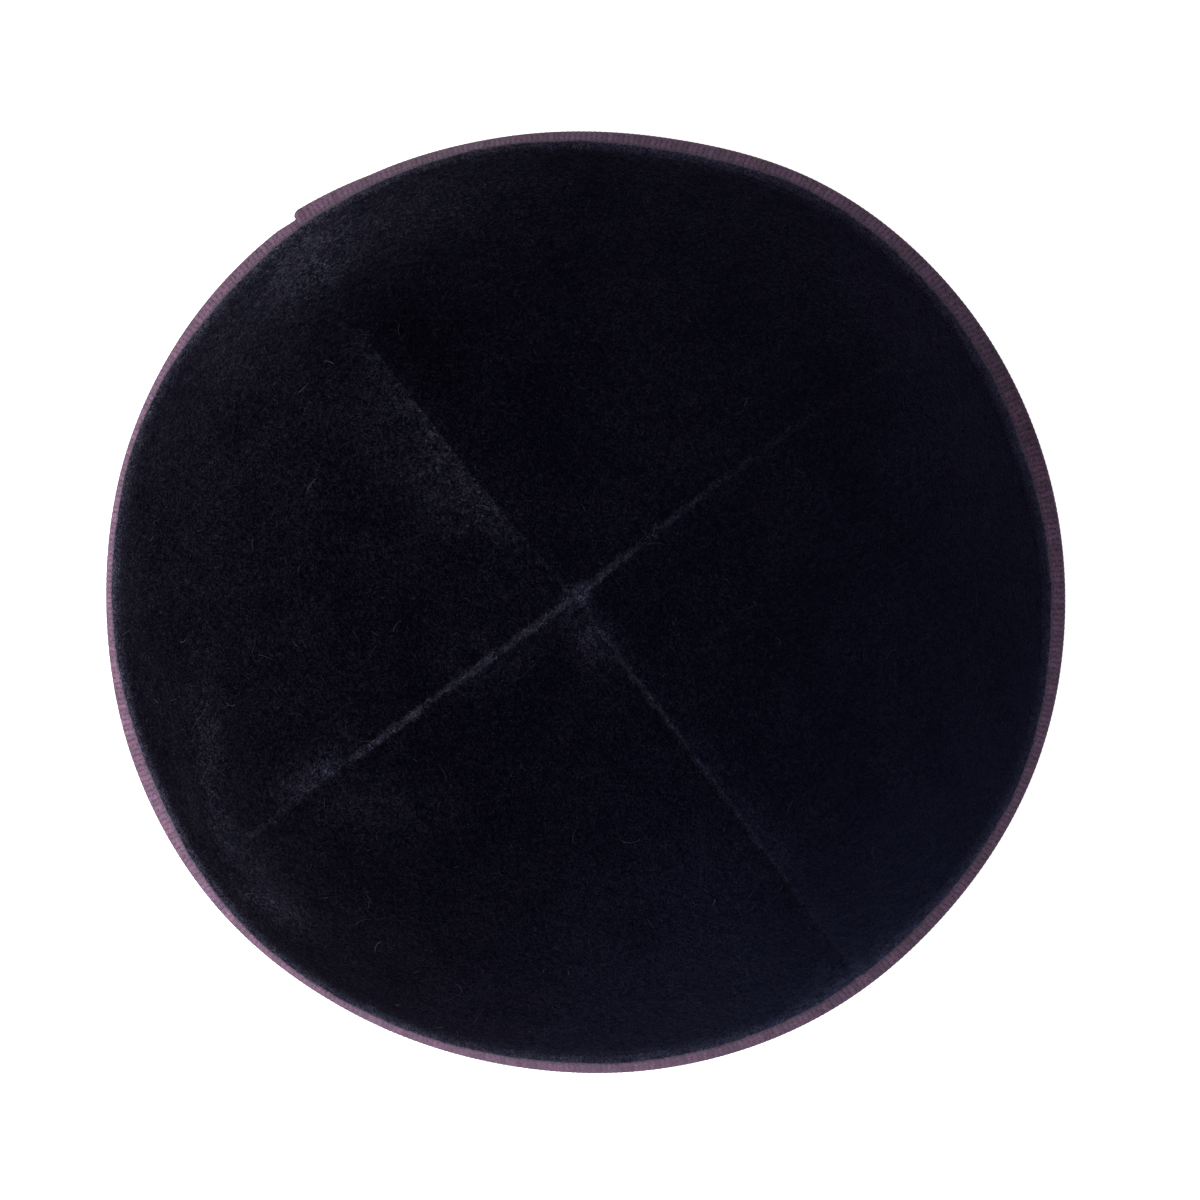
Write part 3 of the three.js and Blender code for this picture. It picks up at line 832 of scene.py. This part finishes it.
# Where the painted shade between the ribs is weaker.
WEAKER_GAP_SHADE = ((-10.0, -88.0, 3.0), 90.0, 0.3)
GROOVE_ACROSS = 0.95
grosgrain = Finish("grosgrain")
plain_settings(grosgrain, 0.75, 0.1)
grosgrain.shader.inputs["Sheen Weight"].default_value = 0.05
grosgrain.shader.inputs["Sheen Roughness"].default_value = 0.4
grosgrain.shader.inputs["Sheen Tint"].default_value = (0.85, 0.75, 0.9, 1.0)
strip = grosgrain.scaled(grosgrain.add("ShaderNodeUVMap", uv_map="strip").outputs[0], 1000.0)
strip_parts = grosgrain.add("ShaderNodeSeparateXYZ", {0: strip})
along_strip, across_strip = strip_parts.outputs["X"], strip_parts.outputs["Y"]
place = grosgrain.millimetres()

rib_place = grosgrain.sum("DIVIDE", along_strip, rib_length)
bent = grosgrain.span(grosgrain.noise(place, 0.8, 2.0), 0.3, 0.7, -0.2, 0.2)
bent_place = grosgrain.sum("ADD", rib_place, bent)
rib_wave = grosgrain.sum("COSINE", grosgrain.sum("MULTIPLY", bent_place, 2 * np.pi))
rib_gap = grosgrain.sum("POWER", grosgrain.span(rib_wave, -1.0, 1.0, 0.0, 1.0), 2.8)
rib_number = grosgrain.sum("FLOOR", rib_place)
rib_dye = grosgrain.add("ShaderNodeTexWhiteNoise", {"W": rib_number}, noise_dimensions="1D").outputs["Value"]
dye = grosgrain.span(rib_dye, 0.0, 1.0, 0.8, 1.2)
yarn_wave = grosgrain.sum("SINE", grosgrain.sum("MULTIPLY", across_strip, 2 * np.pi / 0.27))
yarn = grosgrain.span(yarn_wave, -1.0, 1.0, 0.9, 1.08)
gap_break = grosgrain.span(grosgrain.noise(place, 1.1, 3.0, 0.5, 0.7), 0.36, 0.58, 0.0, 1.0)
gap_shade_strength = near(grosgrain, place, *WEAKER_GAP_SHADE)
gap_break = grosgrain.sum("MULTIPLY", gap_break, gap_shade_strength)

mottle = grosgrain.span(grosgrain.noise(place, 0.9, 4.0, 0.8, 0.75), 0.36, 0.64, 0.0, 1.0)
speckle = grosgrain.span(grosgrain.noise(place, 1.9, 3.0, 0.8, 0.7), 0.34, 0.66, 0.5, 1.52)
edge_share = grosgrain.span(across_strip, 0.35, 0.75, 1.0, 0.0)
fold_share = grosgrain.span(across_strip, 3.8, 4.9, 0.0, 1.0)
plum = grosgrain.mix(mottle, BLUE_PLUM, ROSE_PLUM)
# Painted shade in the gaps between the ribs, and a painted highlight on the bottom fold.
gapped = grosgrain.mix(grosgrain.sum("MULTIPLY", rib_gap, gap_break), plum, PAINTED_GAP_SHADE)
ribbed_plum = grosgrain.scaled(gapped, grosgrain.sum("MULTIPLY", dye, yarn))
fold_highlighted = grosgrain.mix(grosgrain.sum("MULTIPLY", fold_share, 0.6), ribbed_plum, PAINTED_FOLD_HIGHLIGHT)
edged = grosgrain.mix(grosgrain.sum("MULTIPLY", edge_share, 0.6), fold_highlighted, WOVEN_EDGE)
tint = grosgrain.mix(share_along(grosgrain, place, "X", 90.0), TINT_LEFT, TINT_RIGHT)
# The ribbon is darker along its upper edge, next to the velvet, broken by noise and less at the right.
upper_edge_noise = grosgrain.span(grosgrain.noise(place, 2.2, 3.0, 1.0, 0.7), 0.35, 0.65, -0.5, 0.7)
upper_edge_dark = grosgrain.span(grosgrain.sum("ADD", across_strip, upper_edge_noise), 0.0, 1.3, 0.9, 0.0)
less_at_right = grosgrain.span(share_along(grosgrain, place, "X", 90.0), 0.6, 0.9, 1.0, 0.45)
upper_edge_dark = grosgrain.sum("MULTIPLY", upper_edge_dark, less_at_right)
# A darker line of painted shade in the shallow groove beside the woven edge.
from_groove = grosgrain.sum("ABSOLUTE", grosgrain.sum("SUBTRACT", across_strip, GROOVE_ACROSS))
groove = grosgrain.span(from_groove, 0.05, 0.3, 0.72, 1.0)
speckled = grosgrain.scaled(edged, grosgrain.sum("MULTIPLY", speckle, groove))
tinted = grosgrain.multiplied(grosgrain.mix(upper_edge_dark, speckled, DARK_UPPER_EDGE), tint)
# Painted light and shade on three wide areas of the rim.
for row in PAINTED_RIM_LIGHT_AND_SHADE:
    tinted = grosgrain.scaled(tinted, near(grosgrain, place, *row))
grosgrain.give(grosgrain.shader.inputs["Base Color"], tinted)
grosgrain.give(grosgrain.shader.inputs["Normal"], grosgrain.bump(yarn, 0.05 * MM))
print("grosgrain has", len(grosgrain.tree.nodes), "nodes")

# %% [markdown]
# The strip is given its thickness by Solidify, as the panels were. Its UV map is made first, because it
# has to follow the cloth and not the folded shape, and Solidify hands it on to the inner skin.


def lay_strip(mesh, name, u, v):
    layer = mesh.uv_layers.new(name=name)
    corners = np.empty(len(mesh.loops), np.int32)
    mesh.loops.foreach_get("vertex_index", corners)
    layer.data.foreach_set("uv", np.stack([u[corners], v[corners]], axis=-1).astype(np.float32).ravel())


def make_ribbon():
    piece, row, column = add_grid("grosgrain_binding", len(fold_lengths) - 1, len(along) - 1)
    set_points(piece.data, ribbon_laid[row, column])
    while piece.data.uv_layers:
        piece.data.uv_layers.remove(piece.data.uv_layers[0])
    lay_strip(piece.data, "strip", along[row] * MM, fold_lengths[column] * MM)
    edit(piece, lambda: bpy.ops.mesh.normals_make_consistent(inside=False))
    outer = [face for face in piece.data.polygons if face.center.z > 3 * MM and abs(face.normal.z) < 0.9]
    outwards = np.mean([face.normal.dot(face.center) for face in outer[:: 50]])
    bottom = np.mean([face.normal.z for face in piece.data.polygons if face.center.z < 0.2 * MM])
    if bottom > 0:
        edit(piece, bpy.ops.mesh.flip_normals)
    piece.data.materials.append(grosgrain.material)
    wall = piece.modifiers.new("wall", "SOLIDIFY")
    wall.thickness = RIBBON_WALL * MM
    wall.offset = -1.0
    bpy.ops.object.modifier_apply(modifier=wall.name)
    bpy.ops.object.shade_smooth_by_angle(angle=np.radians(60))
    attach(piece, "root")
    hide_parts("ribbon_binding")
    print(piece.name, len(piece.data.polygons), "faces, facing", round(float(outwards), 5))
    return piece


ribbon = make_ribbon()

# %% [markdown]
# The last pieces are fibres. Short pile stands over the ribbon's edge and bridges the seams, tufts lie
# all over the dome, and a few thousand longer hairs have worked loose and curl on top. That is what
# makes real velvet soft at its border and speckled up close. One fibre is modelled, by extruding a
# triangle, and its copies are laid in one mesh, because separate objects would slow the scene down.


# %% One fibre
def fibre_template(segments):
    bpy.ops.object.select_all(action="DESELECT")
    bpy.ops.mesh.primitive_circle_add(vertices=3, radius=1.0, fill_type="NGON")
    template = bpy.context.object
    step = {"value": (0, 0, 1 / segments)}
    extrude = [lambda: bpy.ops.mesh.extrude_region_move(TRANSFORM_OT_translate=step)] * segments
    whole = [lambda: bpy.ops.mesh.select_all(action="SELECT"), bpy.ops.mesh.quads_convert_to_tris]
    edit(template, *extrude, *whole, lambda: bpy.ops.mesh.normals_make_consistent(inside=False))
    corners = np.array([v.co[:] for v in template.data.vertices])
    faces = np.array([face.vertices[:] for face in template.data.polygons])
    bpy.data.objects.remove(template)
    return corners, faces


def spike_template():
    bpy.ops.object.select_all(action="DESELECT")
    bpy.ops.mesh.primitive_cone_add(vertices=3, radius1=1.0, radius2=0.0, depth=1.0)
    template = bpy.context.object
    edit(template, lambda: bpy.ops.mesh.normals_make_consistent(inside=False))
    corners = np.array([v.co[:] for v in template.data.vertices]) + np.array([0, 0, 0.5])
    faces = np.array([face.vertices[:] for face in template.data.polygons])
    bpy.data.objects.remove(template)
    return corners, faces


curled, spike = fibre_template(6), spike_template()
print("a fibre has", len(curled[1]), "faces and a spike", len(spike[1]))


# %% [markdown]
# A fibre's copy is the template bent along a curve of four points. All copies are worked out at once as
# arrays and joined in one mesh, because an operator for each of so many fibres would be far too slow.


# %% Copies of a fibre along curves
def lay_copies(name, template, controls, thickness, lightness):
    """controls holds four points of a curve for each copy, in millimetres."""
    corners, faces = template
    reach = controls[:, 3] - controls[:, 0]
    up = reach / np.linalg.norm(reach, axis=1, keepdims=True)
    side_way = np.cross(up, np.where(np.abs(up[:, 2:]) < 0.9, [[0, 0, 1.0]], [[1.0, 0, 0]]))
    side_way /= np.linalg.norm(side_way, axis=1, keepdims=True)
    front_way = np.cross(up, side_way)
    z = corners[None, :, 2:]
    line = bezier(z, *(controls[:, None, index] for index in range(4)))
    width = thickness * (1 - 0.5 * z)
    aside = side_way[:, None] * corners[None, :, :1] + front_way[:, None] * corners[None, :, 1:2]
    points = line + aside * width
    all_faces = (faces[None] + len(corners) * np.arange(len(controls))[:, None, None]).reshape(-1, 3)
    mesh = bpy.data.meshes.new(name)
    mesh.from_pydata(((points - MIDDLE) * MM).reshape(-1, 3).tolist(), [], all_faces.tolist())
    set_attribute(mesh, "fibre_light", np.repeat(lightness, len(corners)))
    piece = bpy.data.objects.new(name, mesh)
    bpy.context.scene.collection.objects.link(piece)
    mesh.materials.append(hairs.material)
    edit(piece, lambda: bpy.ops.mesh.normals_make_consistent(inside=False))
    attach(piece, "root")
    print(name, len(controls), "copies,", len(mesh.polygons), "faces")
    return piece


# %% [markdown]
# The fibres have the velvet's dye, but a single fibre catches more light than the dense pile below it, and
# that light is painted into its colour. Each copy carries its own painted lightness, so one material serves
# them all.

# %% The fibres' finish
HAIR_FRONT = (0.0065, 0.006, 0.009, 1.0), (0.0078, 0.0084, 0.0158, 1.0)
HAIR_BACK = (0.0068, 0.0064, 0.0099, 1.0), (0.0082, 0.0083, 0.0148, 1.0)
hairs = Finish("pile_fibre")
plain_settings(hairs, 1.0, 0.0)
hair_place = hairs.millimetres()
hair_dye = across_cap(hairs, hair_place, HAIR_FRONT, HAIR_BACK)
hair_patches = hairs.span(hairs.noise(hair_place, 0.5, 2.0), 0.35, 0.65, 0.7, 1.3)
hair_light = hairs.sum("MULTIPLY", hairs.attribute("fibre_light"), hair_patches)
hairs.give(hairs.shader.inputs["Base Color"], hairs.scaled(hair_dye, hair_light))
print("fibres have", len(hairs.tree.nodes), "nodes")


# %% [markdown]
# A fibre is planned from above, as a path on a flat disc, and then lifted on to the dome with its folds,
# grooves and marks. So it lies on the pile wherever it runs, and a place of painted sheen makes it lighter.


# %% Where fibres lie on the velvet
row_table = np.linspace(0.0, 1.0, 400)
share_table = share_of_reach(row_table)


def on_velvet(plan, above):
    """Points a little above the pile, from places in the plan in millimetres, and the painted sheen and
    shade of the pile at each.
    """
    direction = np.degrees(np.arctan2(plan[..., 1], plan[..., 0]))
    share = np.hypot(plan[..., 0], plan[..., 1]) / (WIDTH / 2)
    t = np.interp(np.clip(share, 0.004, 1), share_table, row_table)
    t = np.minimum(t, LAST_ROW)
    swell, marks = np.zeros(t.shape), np.zeros(t.shape)
    for panel in range(4):
        first, last = seam_direction(panel, t), seam_direction(panel + 1, t)
        turned = first + np.mod(direction - first, 360)
        inside = turned < last
        plain = cap_point(turned, t, PILE)
        gap = np.radians(np.minimum(turned - first, last - turned)) * share * WIDTH / 2
        groove = groove_at(panel, gap, smooth_step((turned - first) / (last - first), 0.35, 0.65))
        swell = np.where(inside, swell_at(turned, t, first, last) - groove, swell)
        marks = np.where(inside, brushed_sheen_and_shade_at(plain[..., 0], plain[..., 1], PANEL_NAMES[panel]), marks)
    return cap_point(direction, t, PILE - swell - above), marks


def walk(start, heading, curl, length):
    """Four places along a curled path in the plan."""
    places = [start]
    for step in range(3):
        turned = heading + curl * step
        move = np.stack([np.cos(turned), np.sin(turned)], axis=-1) * (length / 3)[:, None]
        places.append(places[-1] + move)
    return np.stack(places, axis=1)


def scatter(count):
    angle, reach = random.uniform(0, 2 * np.pi, count), 88.0 * np.sqrt(random.uniform(0, 1, count))
    return np.stack([reach * np.cos(angle), reach * np.sin(angle)], axis=-1)


# %% [markdown]
# Tufts are the tips of the pile, standing or lying every way. They are spikes shorter than a
# millimetre, because only their number and their different lightness show, and thirty thousand longer
# shapes would be slow.


# %% Tufts all over the dome
def heights(count, *spans):
    """A height above the pile for each of a fibre's four places, drawn between two bounds."""
    return np.stack([random.uniform(low, high, count) for low, high in spans], axis=1)


TUFTS = 36000
tuft_headings = random.uniform(0, 2 * np.pi, TUFTS)
tuft_lengths = random.uniform(0.35, 0.9, TUFTS)
tuft_plan = walk(scatter(TUFTS), tuft_headings, random.normal(0, 0.4, TUFTS), tuft_lengths)
tuft_above = heights(TUFTS, (-0.1, -0.1), (0, 0.2), (0.1, 0.3), (0.1, 0.35))
tuft_curve, tuft_marks = on_velvet(tuft_plan, tuft_above)
# A tuft's lightness is a painted highlight, stronger on places of painted sheen and towards the left and the
# back.
tuft_glow = random.gamma(1.4, 0.55, TUFTS) * np.clip(1 + 1.6 * tuft_marks[:, 0], 0.35, None)
tuft_glow *= 1 - 0.14 * tuft_plan[:, 0, 0] / (WIDTH / 2) + 0.12 * tuft_plan[:, 0, 1] / (DEPTH / 2)
lay_copies("pile_tufts", spike, tuft_curve, 0.06, tuft_glow)

# %% [markdown]
# Hairs that have worked loose lie on top and curl. Most are short and dim, and only a few dozen are long
# or light enough to be seen one by one.

# %% Loose hairs that curl on top
LOOSE, STANDING_OUT = 1500, 90
loose_lengths = np.minimum(0.6 + random.gamma(2.0, 0.4, LOOSE), 4.0)
loose_lengths[:STANDING_OUT] = random.uniform(1.0, 3.6, STANDING_OUT)
loose_curls = random.normal(0, 0.8, LOOSE)
loose_plan = walk(scatter(LOOSE), random.uniform(0, 2 * np.pi, LOOSE), loose_curls, loose_lengths)
loose_above = heights(LOOSE, (0.0, 0.2), (0.15, 0.35), (0.15, 0.4), (0.05, 0.25))
loose_curve, loose_marks = on_velvet(loose_plan, loose_above)
# A loose hair's lightness is a painted highlight, stronger on places of painted sheen and towards the left.
loose_glow = np.minimum(random.gamma(1.2, 0.75, LOOSE), 3.8) * np.clip(1 + loose_marks[:, 0], 0.5, None)
loose_glow[:STANDING_OUT] = random.uniform(2.2, 5.2, STANDING_OUT)
loose_glow *= 1.1 - 0.3 * loose_plan[:, 0, 0] / (WIDTH / 2)
lay_copies("loose_hairs", curled, loose_curve, 0.045, loose_glow)

# %% [markdown]
# Where two panels meet, the pile of both is pressed together and its tips stand up as a soft light
# line. It is made of short fibres laid close along each seam, thickest where the seam shows most.

# %% Pile that bridges the seams
SEAM_HAIRS = (3000, 3000, 1200, 3600)
SEAM_SPREADS = (0.4, 0.42, 0.3, 0.32)
seam_curves, seam_glows = [], []
for seam in range(4):
    share = random.uniform(0.0, 0.95, SEAM_HAIRS[seam])
    t = np.interp(share, share_table, row_table)
    strength = seam_light_at(seam, t)
    clumping = 0.5 + 0.5 * np.sin(share * 61 + seam) * np.sin(share * 23 + 2 * seam)
    kept = random.uniform(0, 1, SEAM_HAIRS[seam]) < strength * (0.2 + 0.8 * clumping)
    share, t, strength = share[kept], t[kept], strength[kept]
    count = len(share)
    angle = np.radians(seam_direction(seam, t))
    line = np.stack([np.cos(angle), np.sin(angle)], axis=-1)
    aside = np.stack([-line[:, 1], line[:, 0]], axis=-1)
    off_seam = random.normal(0, SEAM_SPREADS[seam], count)
    start = line * (share * WIDTH / 2)[:, None] + aside * off_seam[:, None]
    heading = angle + random.normal(0, 0.8, count) + np.pi * (random.uniform(0, 1, count) < 0.5)
    seam_plan = walk(start, heading, random.normal(0, 0.4, count), random.uniform(0.35, 0.95, count))
    seam_above = heights(count, (-0.1, 0.0), (0.0, 0.15), (0.05, 0.2), (0.05, 0.2))
    seam_curves.append(on_velvet(seam_plan, seam_above)[0])
    # A seam fibre's lightness is a painted highlight, strongest where the seam's painted light line is.
    seam_glows.append(random.gamma(1.8, 1.25, count) * (0.4 + 0.6 * strength))
lay_copies("seam_pile", spike, np.concatenate(seam_curves), 0.07, np.concatenate(seam_glows))

# %% [markdown]
# At the ribbon the velvet's cut end stands out and its pile hangs over the ribbon's edge. That softens
# the border between the two, which is a hard line only where the ribbon has flattened the pile.

# %% Pile over the ribbon's edge
AT_EDGE, ABOVE_EDGE = 11000, 4500
EDGE_HAIRS = AT_EDGE + ABOVE_EDGE
edge_turn = random.uniform(0, 360, EDGE_HAIRS)
edge_above = np.append(random.uniform(-0.1, 0.5, AT_EDGE), random.uniform(0.3, 2.2, ABOVE_EDGE))
edge_start = leaf_at(edge_turn) + edge_above
edge_fall = np.append(random.uniform(-0.9, 0.1, AT_EDGE), random.uniform(-0.7, 0.4, ABOVE_EDGE))
edge_lean = random.normal(0, 0.35, EDGE_HAIRS)
edge_out = random.uniform(-0.4, -0.15, EDGE_HAIRS)
edge_from = np.append(np.full(AT_EDGE, 0.05), np.full(ABOVE_EDGE, 0.3))
edge_places = []
for part, out in ((0.0, 0.0), (0.35, 0.6), (0.7, 0.9), (1.0, 1.0)):
    depth = edge_from + (edge_out - edge_from) * out
    part_turn, part_height = edge_turn + edge_lean * part, edge_start + edge_fall * part
    edge_places.append(cap_point_at_height(part_turn, part_height, depth))
edge_curve = np.stack(edge_places, axis=1)
# An edge fibre's lightness is painted sheen, a little stronger towards the back right and weaker above the
# edge.
edge_glow = random.gamma(2.5, 0.4, EDGE_HAIRS) * (4.4 + 0.3 * np.cos(np.radians(edge_turn - 60)))
edge_glow *= np.append(np.ones(AT_EDGE), np.full(ABOVE_EDGE, 0.6))
lay_copies("edge_pile", spike, edge_curve, 0.048, edge_glow)
